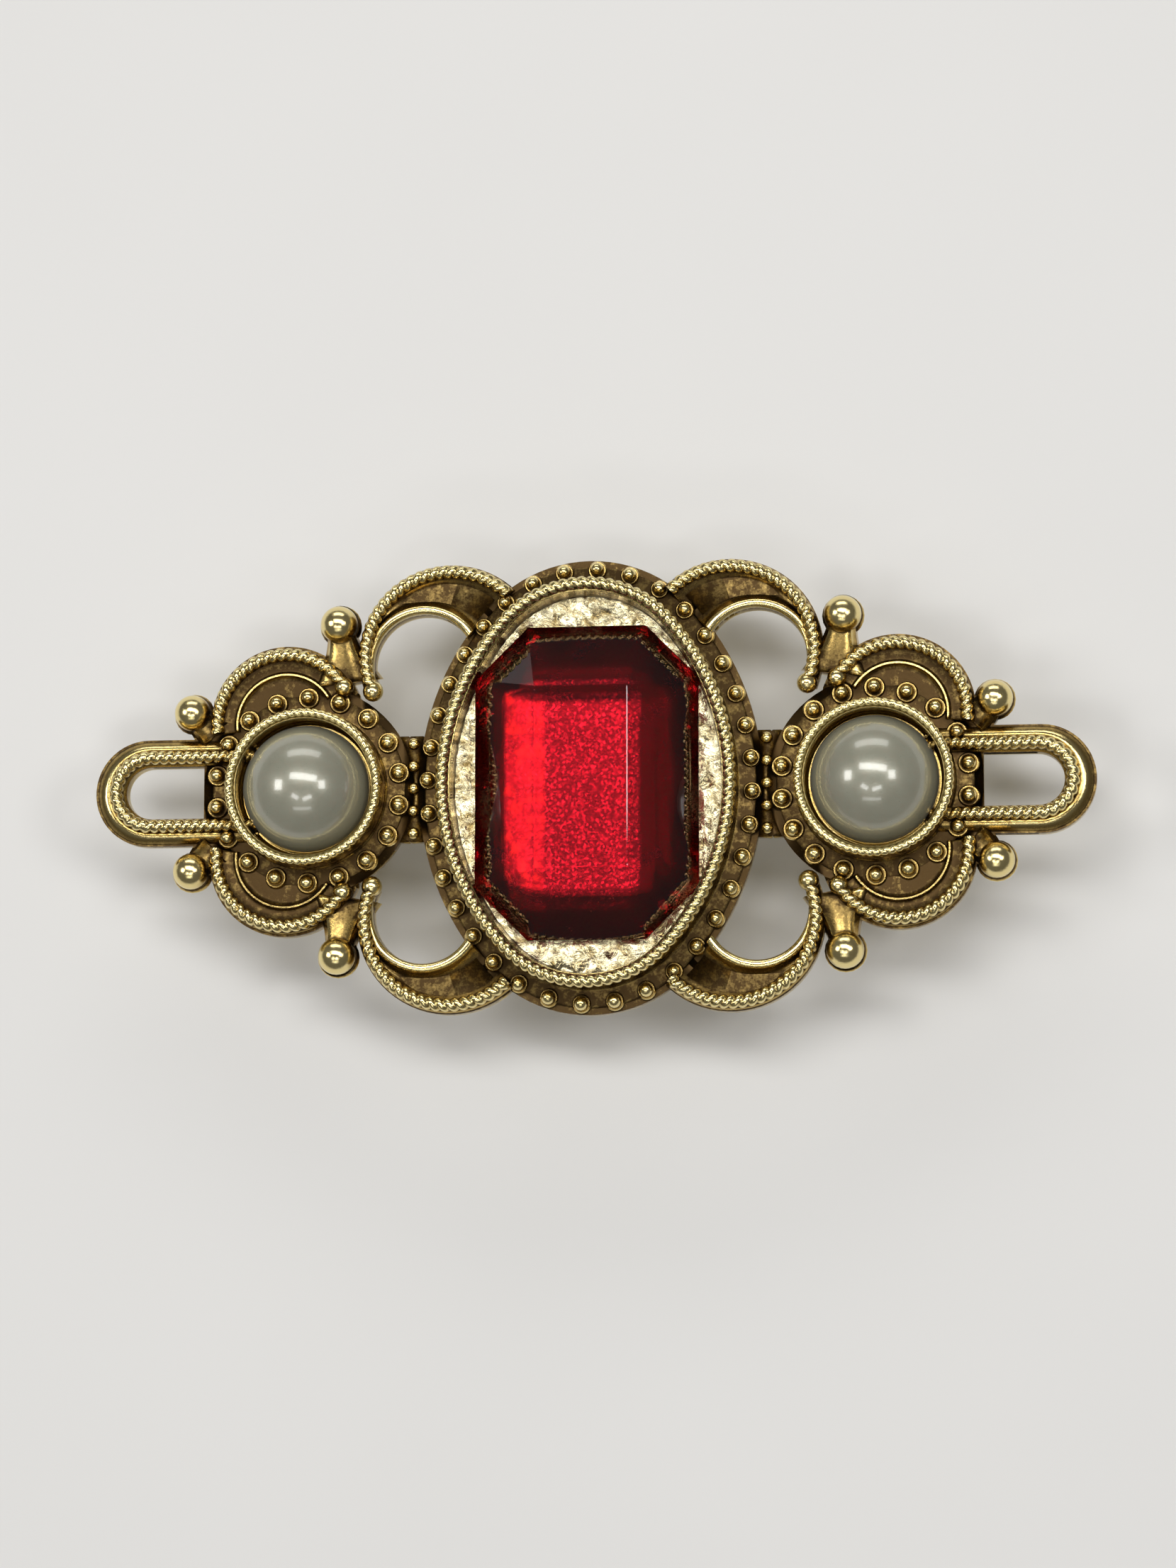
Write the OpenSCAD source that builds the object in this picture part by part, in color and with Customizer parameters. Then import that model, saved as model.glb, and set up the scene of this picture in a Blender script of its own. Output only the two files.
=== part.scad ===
// Rhinestone hair clip: a cast openwork ornament with one octagon stone and two half pearls
// in beaded cups, riveted to a spring-steel barrette clasp.
// X runs along the clip, Y across it and Z up out of its face. The origin is under its middle,
// on the surface that the closed clip lies on.

/* [Oval cup for the stone] */
// Length of the oval rope rim across the clip, outside
oval_length = 32.8; // [31:0.2:40]
// Width of the oval rope rim along the clip, outside
oval_width = 23.9; // [22:0.1:29]
// Radius of the oval's two ends
oval_end_radius = 9.2; // [8.8:0.1:10.5]
// Width of the rope rim
oval_rim_width = 1.1; // [0.8:0.1:1.4]
// Height of the rope rim's top above the casting's back
oval_rim_height = 4.9; // [4:0.1:6]
// Number of beads round the oval cup
oval_beads = 36; // [24:2:44]
// Diameter of the beads round the oval cup
oval_bead_d = 1.1; // [0.8:0.1:1.4]

/* [Rhinestone] */
// Length of the octagon stone
stone_length = 25; // [20:0.5:26]
// Distance from the oval rim's outer edge to the stone's long side
stone_inset = 3.05; // [2.9:0.05:3.6]
// Room between the stone's cut corners and the cup's wall
stone_clear = 0.03; // [0.02:0.01:0.3]
// Thickness of the stone
stone_thickness = 4.8; // [3.5:0.1:6]
// Length of the flat table on top
table_length = 14.3; // [10:0.1:16]
// Width of the flat table on top
table_width = 7.3; // [5:0.1:9]
// Thickness of the foil on the stone's back
foil_thickness = 0.12; // [0.08:0.01:0.2]

/* [Pearls] */
// Distance from the oval rim's outer edge to the nearer pearl's centre
pearl_offset = 10.7; // [10.4:0.1:13]
// Diameter of each half pearl
pearl_d = 10.2; // [8:0.1:10.8]
// Gap between a pearl and the wall of its cup
pearl_gap = 0.5; // [0.2:0.05:0.8]
// Width of a pearl cup's rim
pearl_rim_width = 0.85; // [0.5:0.05:1]
// Height of a pearl cup's rim above the casting's back
pearl_rim_height = 4.3; // [3.5:0.1:5.5]
// Number of beads round a pearl cup
pearl_beads = 18; // [12:1:20]
// Diameter of the beads round a pearl cup
pearl_bead_d = 1.25; // [0.9:0.05:1.5]
// Thickness of the glue under each pearl
glue_thickness = 0.2; // [0.1:0.05:0.4]

/* [Openwork casting] */
// Thickness of the casting's web, which the cups stand on
web = 1; // [0.8:0.1:1.5]
// Thickness of the scroll floors
scroll_floor = 1.3; // [1.1:0.1:1.8]
// Outer radius of the four big scrolls
big_scroll_r = 7.45; // [6.8:0.05:9]
// Radius of the round opening inside each big scroll
big_hole_r = 4.05; // [3.4:0.05:4.9]
// Height of the rope ridges above the casting's back
rope_height = 2.6; // [2:0.1:3.2]
// Width of the rope ridges
rope_width = 0.9; // [0.6:0.05:1.2]
// Outer radius of the four small scrolls
small_scroll_r = 6.2; // [5.2:0.05:7.4]
// Half of the width of an end loop
loop_r = 4.3; // [3.9:0.05:5.2]
// Distance from a pearl's centre to the tip of its end loop
loop_reach = 17.35; // [15.5:0.05:20.8]
// Half of the width of the opening in an end loop
loop_hole_r = 2.1; // [2.05:0.05:2.6]
// Diameter of the four balls between the big and small scrolls
inner_ball_d = 3; // [2.4:0.1:3.6]
// Diameter of the four balls beside the end loops
outer_ball_d = 2.9; // [2.4:0.1:3.5]

/* [Barrette clasp] */
// Length of the clasp's base plate
clasp_length = 59; // [50:0.5:62]
// Width of the base plate
clasp_width = 7.4; // [7:0.1:9]
// Thickness of the base plate
plate_t = 0.8; // [0.6:0.05:1.2]
// Room between the surface that the clip lies on and the base plate
clasp_room = 7.8; // [7.6:0.1:9.4]
// Thickness of the swing arm
arm_t = 0.8; // [0.6:0.05:1]
// How far the middle of the arm is arched towards the plate
arm_arch = 1.3; // [0.5:0.1:1.5]
// Diameter of the hinge pin
pin_d = 1.6; // [1.2:0.05:2]
// Radial clearance of the arm's knuckle on the pin
pin_clearance = 0.06; // [0.03:0.01:0.1]
// Diameter of the two rivets that hold the clasp to the casting
rivet_d = 2; // [1.5:0.1:2.4]
// Thickness of the tension bar
bar_t = 0.5; // [0.4:0.05:0.6]
// Width of the tension bar
bar_w = 4.4; // [3.6:0.1:4.8]
// Travel of the tension bar towards the plate
bar_travel = 0.8; // [0.5:0.1:1]

/* [Hidden] */
$fn = 48;
eps = 0.01;

// Heights
casting_z = clasp_room + plate_t;
cup_floor = 0.65;
cup_z = casting_z + web;
flange_top = 1.7;
bead_lift = 0.1;

// Oval of four arcs: every offset of it shares the same four centres
oval_a = oval_length / 2;
oval_b = oval_width / 2;
end_y = oval_a - oval_end_radius;
side_radius = (oval_b * oval_b + end_y * end_y - oval_end_radius * oval_end_radius)
    / (2 * (oval_b - oval_end_radius));
side_x = side_radius - oval_b;
join_angle = atan2(end_y, side_x);

// Bead rings: how far the bead centres lie outside the rims, and the room they take
oval_bead_out = 1.05;
oval_boss_r = oval_bead_d / 2 + 0.2;
oval_reach = oval_bead_out + oval_boss_r;
pearl_x = oval_b + pearl_offset;
pearl_wall_r = pearl_d / 2 + pearl_gap;
pearl_rim_r = pearl_wall_r + pearl_rim_width;
pearl_bead_ring_r = pearl_rim_r + 0.9 * pearl_bead_d;
pearl_boss_r = pearl_bead_d / 2 + 0.27;
pearl_reach = pearl_bead_ring_r + pearl_boss_r;
cup_clear = 0.05;

// Ledge inside the oval cup that carries the stone
ledge_in = oval_rim_width + 0.65;
stone_width = oval_width - 2 * stone_inset;
wall_arc_r = side_radius - oval_rim_width;
corner_x = stone_width / 2 + side_x + stone_clear;
// The stone's corners are cut back along its long sides until they clear the wall
stone_corner = stone_length / 2 - sqrt(wall_arc_r * wall_arc_r - corner_x * corner_x);
ledge_w = 0.4;
ledge_z = cup_z + cup_floor + 0.6;
foil_z = ledge_z;
stone_z = foil_z + foil_thickness;
girdle_h = 1;
crown_mid_h = 3.2;
crown_mid_in = [2.6, 3];
crown_mid_corner = 2.9;
seat_in = 0.1;

// Places of the scrolls, loops and balls, for one quarter of the ornament
big_scroll = [pearl_x - 11.45, 10.6];
big_hole = [pearl_x - 9.35, 10];
big_from = -24;
big_to = 134;
v_tip = [pearl_x - 8.15, 4.15];
small_scroll = [pearl_x + 1.8, pearl_reach - 2.95];
small_from = -8;
small_to = 149;
loop_tip = pearl_x + loop_reach;
loop_x = loop_tip - loop_r;
loop_bar = 2.5;
loop_hole_x = loop_tip - loop_bar - loop_hole_r;
loop_hole_start = pearl_x + pearl_reach + cup_clear;
inner_ball = [pearl_x - 2.45, small_scroll[1] + small_scroll_r + 1.75];
inner_stem_foot = [pearl_x - 3.35, small_scroll[1] + 3.1];
outer_ball = [small_scroll[0] + small_scroll_r + 1.45, loop_r + 2.1];
outer_stem_foot = [pearl_x + 7.6, loop_r + 0.3];
junction_half = 4.25;
ball_sink = 0.25;
rope_edge = 0.15;
lip_w = 0.6;
lip_back = 0.08;
lip_top = rope_height - 0.6;
stem_h = scroll_floor + 0.55;

// Clasp
plate_z = clasp_room;
hinge_x = -clasp_length / 2 + 2.5;
pin_z = 2;
ear_r = 2;
ear_t = 0.8;
ear_in = clasp_width / 2 - ear_t;
side_clear = 0.2;
knuckle_bore = pin_d / 2 + pin_clearance;
knuckle_r = knuckle_bore + 0.7;
knuckle_half = ear_in - side_clear;
arm_w = 2 * knuckle_half;
arm_half = -hinge_x;
arm_r = (arm_half * arm_half + arm_arch * arm_arch) / (2 * arm_arch);
arm_slot_w = 2.4;
arm_slot_half = 17;
latch_x = clasp_length / 2 - 3.6;
prong_w = 2.3;
prong_t = 0.8;
prong_out = 1.8;
hook = 0.3;
latch_clear = 0.25;
window_half_y = prong_out + hook + latch_clear;
window_half_x = prong_w / 2 + 0.6;
latch_pad_half_y = window_half_y + 1.3;
latch_pad_half_x = window_half_x + 1.6;
lip_x = latch_x + latch_pad_half_x;
lip_t = arm_t;
prong_foot_z = 0.35;
hook_h = 0.8;
rivet_x = pearl_x - 8.15;
rivet_head_r = rivet_d / 2 + 0.6;
rivet_head_h = 0.5;
rivet_sink = web - 0.3;
keeper_x = clasp_length / 2 - 6.3;
keeper_w = 1.2;
keeper_half_y = clasp_width / 2 - 0.4;
slot_clear = 0.12;
bar_tab_z = plate_z - slot_clear - bar_travel - bar_t;
bar_half = keeper_x + keeper_w / 2 + 0.15;
bar_bow_half = keeper_x - keeper_w / 2 - 0.6;
arm_top = pin_z + arm_arch + arm_t / 2;
bar_drop = bar_tab_z - arm_top - 0.3;
bar_r = (bar_bow_half * bar_bow_half + bar_drop * bar_drop) / (2 * bar_drop);

gold = "#9b7a33";
steel = "#b9bcc0";

// Filled oval, d outside the rim's outer edge
module oval_2d(d) {
    r_end = oval_end_radius + d;
    r_side = side_radius + d;
    band = r_side * sin(join_angle);
    for (s = [-1, 1]) translate([0, s * end_y]) circle(r = r_end, $fn = 96);
    intersection() {
        translate([-side_x, 0]) circle(r = r_side, $fn = 160);
        translate([side_x, 0]) circle(r = r_side, $fn = 160);
        square([4 * oval_width, 2 * band], center = true);
    }
}

// Wall that follows the oval between two offsets of it
module oval_wall(from, to, base, top) {
    translate([0, 0, base]) linear_extrude(height = top - base) difference() {
        oval_2d(to);
        oval_2d(from);
    }
}

// Point at a share s of the way round the oval, d outside the rim's outer edge
function oval_quarter_lengths(d) = [
    (side_radius + d) * join_angle, (oval_end_radius + d) * (90 - join_angle)];
function oval_quarter_point(u, d, l) = u < l[0]
    ? [-side_x + (side_radius + d) * cos(u / (side_radius + d)),
       (side_radius + d) * sin(u / (side_radius + d))]
    : [(oval_end_radius + d) * cos(join_angle + (u - l[0]) / (oval_end_radius + d)),
       end_y + (oval_end_radius + d) * sin(join_angle + (u - l[0]) / (oval_end_radius + d))];
function oval_point(s, d) = let (
        l = oval_quarter_lengths(d),
        q = floor(s * 4),
        part = s * 4 - q,
        whole = l[0] + l[1],
        p = oval_quarter_point((q % 2 == 0 ? part : 1 - part) * whole, d, l)
    ) [(q == 1 || q == 2) ? -p[0] : p[0], q >= 2 ? -p[1] : p[1]];

// Ridge with a round top, standing on the base height
module ridge_2d(w, base, top) {
    translate([-w / 2, base]) square([w, top - w / 2 - base]);
    translate([0, top - w / 2]) circle(d = w, $fn = 24);
}

module arc_ridge(r, from, to, w, base, top) {
    rotate_extrude(angle = to - from, start = from, $fn = 96)
        translate([r, 0]) ridge_2d(w, base, top);
}

// Copies what it is given into the four quarters of the ornament
module four_quarters() {
    for (mx = [0, 1]) for (my = [0, 1])
        mirror([mx, 0, 0]) mirror([0, my, 0]) children();
}

module sector_2d(r, from, to) {
    polygon([[0, 0],
        for (k = [0:4]) 2 * r * [cos(from + (to - from) * k / 4), sin(from + (to - from) * k / 4)]]);
}

module big_scroll_2d() {
    difference() {
        translate(big_scroll) intersection() {
            circle(r = big_scroll_r, $fn = 96);
            sector_2d(big_scroll_r, big_from, big_to);
        }
        translate(big_hole) circle(r = big_hole_r, $fn = 96);
    }
}

module small_scroll_2d() {
    translate(small_scroll) circle(r = small_scroll_r, $fn = 96);
}

// Straight stem of even width between two points
module stem_2d(from, to, w_from, w_to) {
    run = to - from;
    side = [-run[1], run[0]] / norm(run) / 2;
    polygon([from + side * w_from, to + side * w_to, to - side * w_to, from - side * w_from]);
}

module loop_2d(r, x, start) {
    translate([x, 0]) circle(r = r, $fn = 64);
    translate([start, -r]) square([x - start, 2 * r]);
}

// Opening between the oval cup, the pearl cup and a big scroll
module opening_2d() {
    translate(big_hole) circle(r = big_hole_r, $fn = 96);
    polygon([v_tip,
        big_hole + big_hole_r * [cos(-25), sin(-25)],
        big_hole + big_hole_r * [cos(200), sin(200)]]);
}

// Big scroll: its floor, the rope along its outer edge and the lip along its opening
module big_scroll() {
    linear_extrude(height = scroll_floor) big_scroll_2d();
    translate(big_scroll) arc_ridge(
        big_scroll_r - rope_edge - rope_width / 2, big_from, big_to, rope_width, 0, rope_height);
    translate(big_hole)
        arc_ridge(big_hole_r + lip_back + lip_w / 2, big_from, big_to, lip_w, 0, lip_top);
}

module small_scroll() {
    rope_r = small_scroll_r - rope_edge - rope_width / 2;
    step_w = 0.4;
    linear_extrude(height = scroll_floor) small_scroll_2d();
    translate(small_scroll) {
        arc_ridge(rope_r, small_from, small_to, rope_width, 0, rope_height);
        arc_ridge(rope_r - 1.4, small_from, small_to, step_w, 0, scroll_floor + 0.35);
    }
}

// Ball on its stem; both have flat backs
module ball_finial(foot, place, d, foot_w, neck_w) {
    linear_extrude(height = stem_h) stem_2d(foot, place, foot_w, neck_w);
    intersection() {
        translate([place[0], place[1], d / 2 - ball_sink]) sphere(d = d, $fn = 40);
        translate([place[0] - d, place[1] - d, 0]) cube(2 * d);
    }
}

module end_loop() {
    rope_r = loop_hole_r + rope_width * 0.8;
    linear_extrude(height = scroll_floor) difference() {
        loop_2d(loop_r, loop_x, pearl_x);
        loop_2d(loop_hole_r, loop_hole_x, loop_hole_start);
    }
    translate([loop_hole_x, 0, 0]) arc_ridge(rope_r, -90, 90, rope_width, 0, rope_height);
    for (side = [-1, 1]) translate([pearl_x, side * rope_r, 0]) rotate([90, 0, 90])
        linear_extrude(height = loop_hole_x - pearl_x) ridge_2d(rope_width, 0, rope_height);
}

module junction_plate() {
    translate([oval_b, -junction_half, 0])
        cube([pearl_x - oval_b, 2 * junction_half, scroll_floor]);
}

// Beads on the plates between the oval cup and the pearl cups
module lattice_beads() {
    rows = 5;
    pitch = 1.45;
    x = (oval_b + oval_reach + pearl_x - pearl_reach) / 2;
    for (k = [0:rows - 1]) translate([x, (k - (rows - 1) / 2) * pitch, scroll_floor])
        sphere(d = 0.9, $fn = 24);
}

// Room that the cups and their beads take above the web
module cup_room() {
    height = oval_rim_height + 2;
    translate([0, 0, web]) linear_extrude(height = height) {
        oval_2d(oval_reach + cup_clear);
        for (s = [-1, 1]) translate([s * pearl_x, 0])
            circle(r = pearl_reach + cup_clear, $fn = 96);
    }
}

// Seats under the cups, with the back of each one open
module cup_seats() {
    linear_extrude(height = web) {
        difference() {
            oval_2d(oval_reach);
            oval_2d(-ledge_in - 1.6);
        }
        for (s = [-1, 1]) translate([s * pearl_x, 0]) difference() {
            circle(r = pearl_reach, $fn = 96);
            circle(r = pearl_wall_r - 1.6, $fn = 64);
        }
    }
}

module rivet_places() {
    for (s = [-1, 1]) translate([s * rivet_x, 0, 0]) children();
}

// One quarter of the openwork, clear of the cups
module quarter_casting() {
    difference() {
        union() {
            union() big_scroll();
            union() small_scroll();
            union() ball_finial(inner_stem_foot, inner_ball, inner_ball_d, 3, 1.7);
            union() ball_finial(outer_stem_foot, outer_ball, outer_ball_d, 3.4, 2);
        }
        cup_room();
    }
}

// One end of the openwork: its end loop and the plate between the cups
module end_casting() {
    difference() {
        union() {
            union() end_loop();
            union() {
                junction_plate();
                lattice_beads();
            }
        }
        cup_room();
    }
}

module openwork_frame() {
    color(gold) translate([0, 0, casting_z]) difference() {
        union() {
            four_quarters() quarter_casting();
            for (turn = [0, 180]) rotate([0, 0, turn]) end_casting();
            cup_seats();
        }
        four_quarters() translate([0, 0, -eps])
            linear_extrude(height = rope_height + 1) difference() {
                opening_2d();
                oval_2d(oval_reach);
                translate([pearl_x, 0]) circle(r = pearl_reach, $fn = 96);
            }
        rivet_places() translate([0, 0, -eps])
            cylinder(d = rivet_d, h = rivet_sink + eps, $fn = 32);
    }
}

// Rim, flange and inner ledge of the oval cup, on its floor
module oval_cup() {
    rim_top = oval_rim_height - web;
    crown = 0.25;
    linear_extrude(height = cup_floor) oval_2d(oval_bead_out);
    oval_wall(-oval_rim_width, 0, 0, rim_top - crown);
    oval_wall(crown - oval_rim_width, -crown, rim_top - 2 * crown, rim_top);
    oval_wall(-ledge_in, ledge_w - ledge_in, cup_floor / 2, ledge_z - cup_z);
}

module oval_bead(k) {
    p = oval_point((k + 0.5) / oval_beads, oval_bead_out);
    translate([p[0], p[1], 0]) {
        cylinder(r = oval_boss_r, h = flange_top - web - bead_lift, $fn = 24);
        translate([0, 0, flange_top - web + bead_lift]) sphere(d = oval_bead_d, $fn = 24);
    }
}

module oval_setting() {
    color(gold) translate([0, 0, cup_z]) {
        union() oval_cup();
        for (k = [0:oval_beads - 1]) union() oval_bead(k);
    }
}

module pearl_setting(x) {
    color(gold) translate([x, 0, cup_z]) {
        cylinder(r = pearl_bead_ring_r, h = flange_top - web, $fn = 96);
        rotate_extrude($fn = 96)
            translate([pearl_rim_r - pearl_rim_width / 2, 0])
                ridge_2d(pearl_rim_width, 0, pearl_rim_height - web);
        for (k = [0:pearl_beads - 1])
            rotate([0, 0, (k + 0.5) * 360 / pearl_beads])
                translate([pearl_bead_ring_r, 0, 0]) {
                    cylinder(r = pearl_boss_r, h = flange_top - web + bead_lift, $fn = 24);
                    translate([0, 0, flange_top - web + 2 * bead_lift])
                        sphere(d = pearl_bead_d, $fn = 24);
                }
    }
}

module pearl_setting_left() {
    pearl_setting(-pearl_x);
}

module pearl_setting_right() {
    pearl_setting(pearl_x);
}

// Outline of a rectangle with its corners cut, length across the clip
module octagon_2d(w, l, cut) {
    x = w / 2;
    y = l / 2;
    polygon([[x, y - cut], [x - cut, y], [cut - x, y], [-x, y - cut],
        [-x, cut - y], [cut - x, -y], [x - cut, -y], [x, cut - y]]);
}

module rhinestone() {
    mid_w = stone_width - 2 * crown_mid_in[0];
    mid_l = stone_length - 2 * crown_mid_in[1];
    facet = 0.02;
    color("#a80f1e") translate([0, 0, stone_z]) hull() {
        linear_extrude(height = girdle_h) octagon_2d(stone_width, stone_length, stone_corner);
        translate([0, 0, crown_mid_h])
            linear_extrude(height = facet) octagon_2d(mid_w, mid_l, crown_mid_corner);
        translate([0, 0, stone_thickness - facet])
            linear_extrude(height = facet) square([table_width, table_length], center = true);
    }
}

module rhinestone_foil() {
    color("#d8c9a0") translate([0, 0, foil_z]) linear_extrude(height = foil_thickness)
        octagon_2d(stone_width - 2 * seat_in, stone_length - 2 * seat_in, stone_corner);
}

module rhinestone_adhesive() {
    inset = 3.2;
    floor_z = cup_z + cup_floor;
    color("#e9e2c8") translate([0, 0, floor_z]) linear_extrude(height = foil_z - floor_z)
        octagon_2d(stone_width - 2 * inset, stone_length - 2 * inset, stone_corner);
}

module pearl(x) {
    color("#cfcab8") translate([x, 0, cup_z + flange_top - web + glue_thickness])
        intersection() {
            sphere(d = pearl_d, $fn = 64);
            cylinder(d = pearl_d + 1, h = pearl_d, $fn = 64);
        }
}

module pearl_left() {
    pearl(-pearl_x);
}

module pearl_right() {
    pearl(pearl_x);
}

module pearl_adhesive(x) {
    color("#e9e2c8") translate([x, 0, cup_z + flange_top - web])
        cylinder(d = pearl_d - 1, h = glue_thickness, $fn = 64);
}

module pearl_adhesive_left() {
    pearl_adhesive(-pearl_x);
}

module pearl_adhesive_right() {
    pearl_adhesive(pearl_x);
}

// Loop under the plate that a tension bar's end slides in
module keeper(x) {
    slot_half = bar_w / 2 + side_clear;
    drop = plate_z - bar_tab_z + slot_clear;
    wall = 0.5;
    translate([x - keeper_w / 2, 0, plate_z - drop]) difference() {
        translate([0, -keeper_half_y, -wall]) cube([keeper_w, 2 * keeper_half_y, drop + wall]);
        translate([-eps, -slot_half, 0]) cube([keeper_w + 2 * eps, 2 * slot_half, drop]);
    }
}

module base_plate() {
    hinge_edge = hinge_x - ear_r;
    color(steel) difference() {
        union() {
            translate([-clasp_length / 2 + clasp_width / 2, -clasp_width / 2, plate_z])
                cube([clasp_length - clasp_width, clasp_width, plate_t]);
            for (s = [-1, 1]) translate([s * (clasp_length - clasp_width) / 2, 0, plate_z])
                cylinder(d = clasp_width, h = plate_t, $fn = 64);
            for (s = [-1, 1]) translate([hinge_edge, s * (ear_in + ear_t / 2) - ear_t / 2, 0])
                cube([2 * ear_r, ear_t, plate_z + plate_t]);
            for (s = [-1, 1]) keeper(s * keeper_x);
        }
        rivet_places() translate([0, 0, plate_z - eps])
            cylinder(d = rivet_d, h = plate_t + 2 * eps, $fn = 32);
        translate([hinge_x, clasp_width, pin_z]) rotate([90, 0, 0])
            cylinder(d = pin_d, h = 2 * clasp_width, $fn = 32);
    }
}

// Rivets: a shank sunk in the casting's back and a round head under the plate
module mounting_rivets() {
    color(steel) rivet_places() {
        translate([0, 0, plate_z])
            cylinder(d = rivet_d, h = plate_t + rivet_sink, $fn = 32);
        translate([0, 0, plate_z - rivet_head_h])
            cylinder(r = rivet_head_r, h = rivet_head_h, $fn = 32);
    }
}

module hinge_pin() {
    head_r = pin_d / 2 + 0.4;
    head_h = 0.4;
    color(steel) translate([hinge_x, 0, pin_z]) rotate([90, 0, 0]) {
        cylinder(d = pin_d, h = clasp_width, center = true, $fn = 32);
        for (s = [-1, 1]) translate([0, 0, s * (clasp_width + head_h) / 2])
            cylinder(r = head_r, h = head_h, center = true, $fn = 32);
    }
}

// Strip bent to an arc in the XZ plane, its middle arched up from its ends
module arched_strip(half, r, rise, t, w) {
    translate([0, w / 2, rise - r]) rotate([90, 0, 0])
        linear_extrude(height = w) intersection() {
            difference() {
                circle(r = r + t / 2, $fn = 720);
                circle(r = r - t / 2, $fn = 720);
            }
            translate([-half, 0]) square([2 * half, 2 * r]);
        }
}

module swing_arm() {
    color(steel) difference() {
        union() {
            difference() {
                translate([0, 0, pin_z])
                    arched_strip(arm_half, arm_r, arm_arch, arm_t, arm_w);
                translate([-arm_slot_half, -arm_slot_w / 2, 0])
                    cube([2 * arm_slot_half, arm_slot_w, clasp_room]);
            }
            translate([latch_x - latch_pad_half_x, -latch_pad_half_y, pin_z - arm_t / 2])
                cube([2 * latch_pad_half_x, 2 * latch_pad_half_y, arm_t]);
            translate([lip_x - lip_t, -arm_w / 2, 0])
                cube([lip_t, arm_w, pin_z]);
            translate([hinge_x, knuckle_half, pin_z]) rotate([90, 0, 0])
                cylinder(r = knuckle_r, h = 2 * knuckle_half, $fn = 48);
        }
        translate([hinge_x, clasp_width, pin_z]) rotate([90, 0, 0])
            cylinder(r = knuckle_bore, h = 2 * clasp_width, $fn = 48);
        translate([latch_x - window_half_x, -window_half_y, 0])
            cube([2 * window_half_x, 2 * window_half_y, clasp_room / 2]);
    }
}

module tension_bar() {
    tab = bar_half - bar_bow_half;
    color(steel) {
        translate([0, 0, bar_tab_z + bar_t / 2])
            mirror([0, 0, 1])
                arched_strip(bar_bow_half, bar_r, bar_drop, bar_t, bar_w);
        for (s = [-1, 1]) translate([s * (bar_bow_half + tab / 2), 0, bar_tab_z + bar_t / 2])
            cube([tab, bar_w, bar_t], center = true);
    }
}

// Spring finger with an outward hook below the arm
module latch_prong(side) {
    hook_top = pin_z - arm_t / 2 - latch_clear;
    color(steel) mirror([0, side < 0 ? 1 : 0, 0]) {
        translate([latch_x - prong_w / 2, prong_out - prong_t, prong_foot_z])
            cube([prong_w, prong_t, plate_z - prong_foot_z]);
        translate([latch_x - prong_w / 2, prong_out - prong_t, hook_top - hook_h])
            cube([prong_w, prong_t + hook, hook_h]);
    }
}

module latch_prong_front() {
    latch_prong(-1);
}

module latch_prong_back() {
    latch_prong(1);
}

openwork_frame();
oval_setting();
pearl_setting_left();
pearl_setting_right();
rhinestone();
rhinestone_foil();
rhinestone_adhesive();
pearl_left();
pearl_right();
pearl_adhesive_left();
pearl_adhesive_right();
base_plate();
mounting_rivets();
hinge_pin();
swing_arm();
tension_bar();
latch_prong_front();
latch_prong_back();
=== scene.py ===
import math
import bmesh
import bpy
from mathutils import Matrix, Vector, noise
from mathutils.bvhtree import BVHTree


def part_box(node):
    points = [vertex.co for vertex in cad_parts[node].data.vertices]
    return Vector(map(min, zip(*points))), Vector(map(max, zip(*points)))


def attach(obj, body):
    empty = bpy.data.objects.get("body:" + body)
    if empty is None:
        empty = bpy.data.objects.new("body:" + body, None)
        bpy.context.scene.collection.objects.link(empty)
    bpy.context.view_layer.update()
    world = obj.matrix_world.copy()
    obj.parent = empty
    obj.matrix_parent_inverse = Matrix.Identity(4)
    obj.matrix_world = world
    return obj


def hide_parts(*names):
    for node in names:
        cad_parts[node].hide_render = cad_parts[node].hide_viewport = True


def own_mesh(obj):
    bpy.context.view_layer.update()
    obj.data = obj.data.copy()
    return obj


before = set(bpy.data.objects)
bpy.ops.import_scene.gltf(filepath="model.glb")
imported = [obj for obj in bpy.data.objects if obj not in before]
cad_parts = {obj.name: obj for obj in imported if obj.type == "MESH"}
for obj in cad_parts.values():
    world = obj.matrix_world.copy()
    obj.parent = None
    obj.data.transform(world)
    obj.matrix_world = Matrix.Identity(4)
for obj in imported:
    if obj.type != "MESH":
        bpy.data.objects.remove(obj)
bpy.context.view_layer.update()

# Everything is worked out in millimetres and made metres when a piece is finished.
MM = 0.001
TAU = 2 * math.pi


# ---------------------------------------------------------------- places taken from the frame

def low(node):
    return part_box(node)[0] / MM


def high(node):
    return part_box(node)[1] / MM


def middle(node):
    return (low(node) + high(node)) / 2


casting_z = low("openwork_frame").z
cup_z = low("oval_setting").z
stone_low = low("rhinestone")
stone_high = high("rhinestone")
pearl_x = middle("pearl_right").x
pearl_r = (high("pearl_right").x - low("pearl_right").x) / 2
pearl_z = low("pearl_right").z
oval_reach = 1.8
oval_b = high("oval_setting").x - oval_reach
oval_a = high("oval_setting").y - oval_reach
oval_rim_z = high("oval_setting").z
pearl_reach = high("pearl_setting_right").x - pearl_x
pearl_rim_z = high("pearl_setting_right").z
ledge_z = low("rhinestone_foil").z
loop_tip = high("openwork_frame").x

# The oval cup's outline is four arcs
oval_end_r = 9.2
end_y = oval_a - oval_end_r
oval_side_r = (oval_b ** 2 + end_y ** 2 - oval_end_r ** 2) / (2 * (oval_b - oval_end_r))
side_x = oval_side_r - oval_b
join_angle = math.degrees(math.atan2(end_y, side_x))

# Heights of the casting
band_base = casting_z + 0.5
slab_top = casting_z + 1.25
flange_z = casting_z + 1.32
rope_top = casting_z + 2.6

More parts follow.
